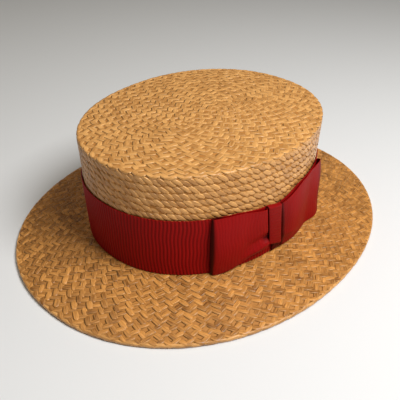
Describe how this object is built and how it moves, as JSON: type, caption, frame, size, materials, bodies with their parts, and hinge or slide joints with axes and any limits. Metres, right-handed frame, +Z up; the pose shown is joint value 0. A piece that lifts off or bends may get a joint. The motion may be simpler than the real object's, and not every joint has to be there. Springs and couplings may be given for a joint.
{
  "type": "boater hat",
  "caption": "Flat-topped oval straw hat with a straight-sided crown, a stiff flat brim, and a ribbon band with a flat bow at the side; worn on the head.",
  "frame": {"origin": "under the middle of the hat, on the surface that its brim rests on", "axes": "+Z up through the crown, -Y towards the face side, +X towards the wearer's left, where the bow is"},
  "size_m": [0.2768, 0.3286, 0.0946],
  "materials": {
    "straw": "varnished golden plaited straw",
    "ribbon": "deep red ribbed grosgrain"
  },
  "bodies": {
    "root": {"crown": "straw", "brim": "straw", "hat_band": "ribbon", "bow_front_loop": "ribbon", "bow_back_loop": "ribbon", "bow_knot": "ribbon"}
  },
  "joints": []
}
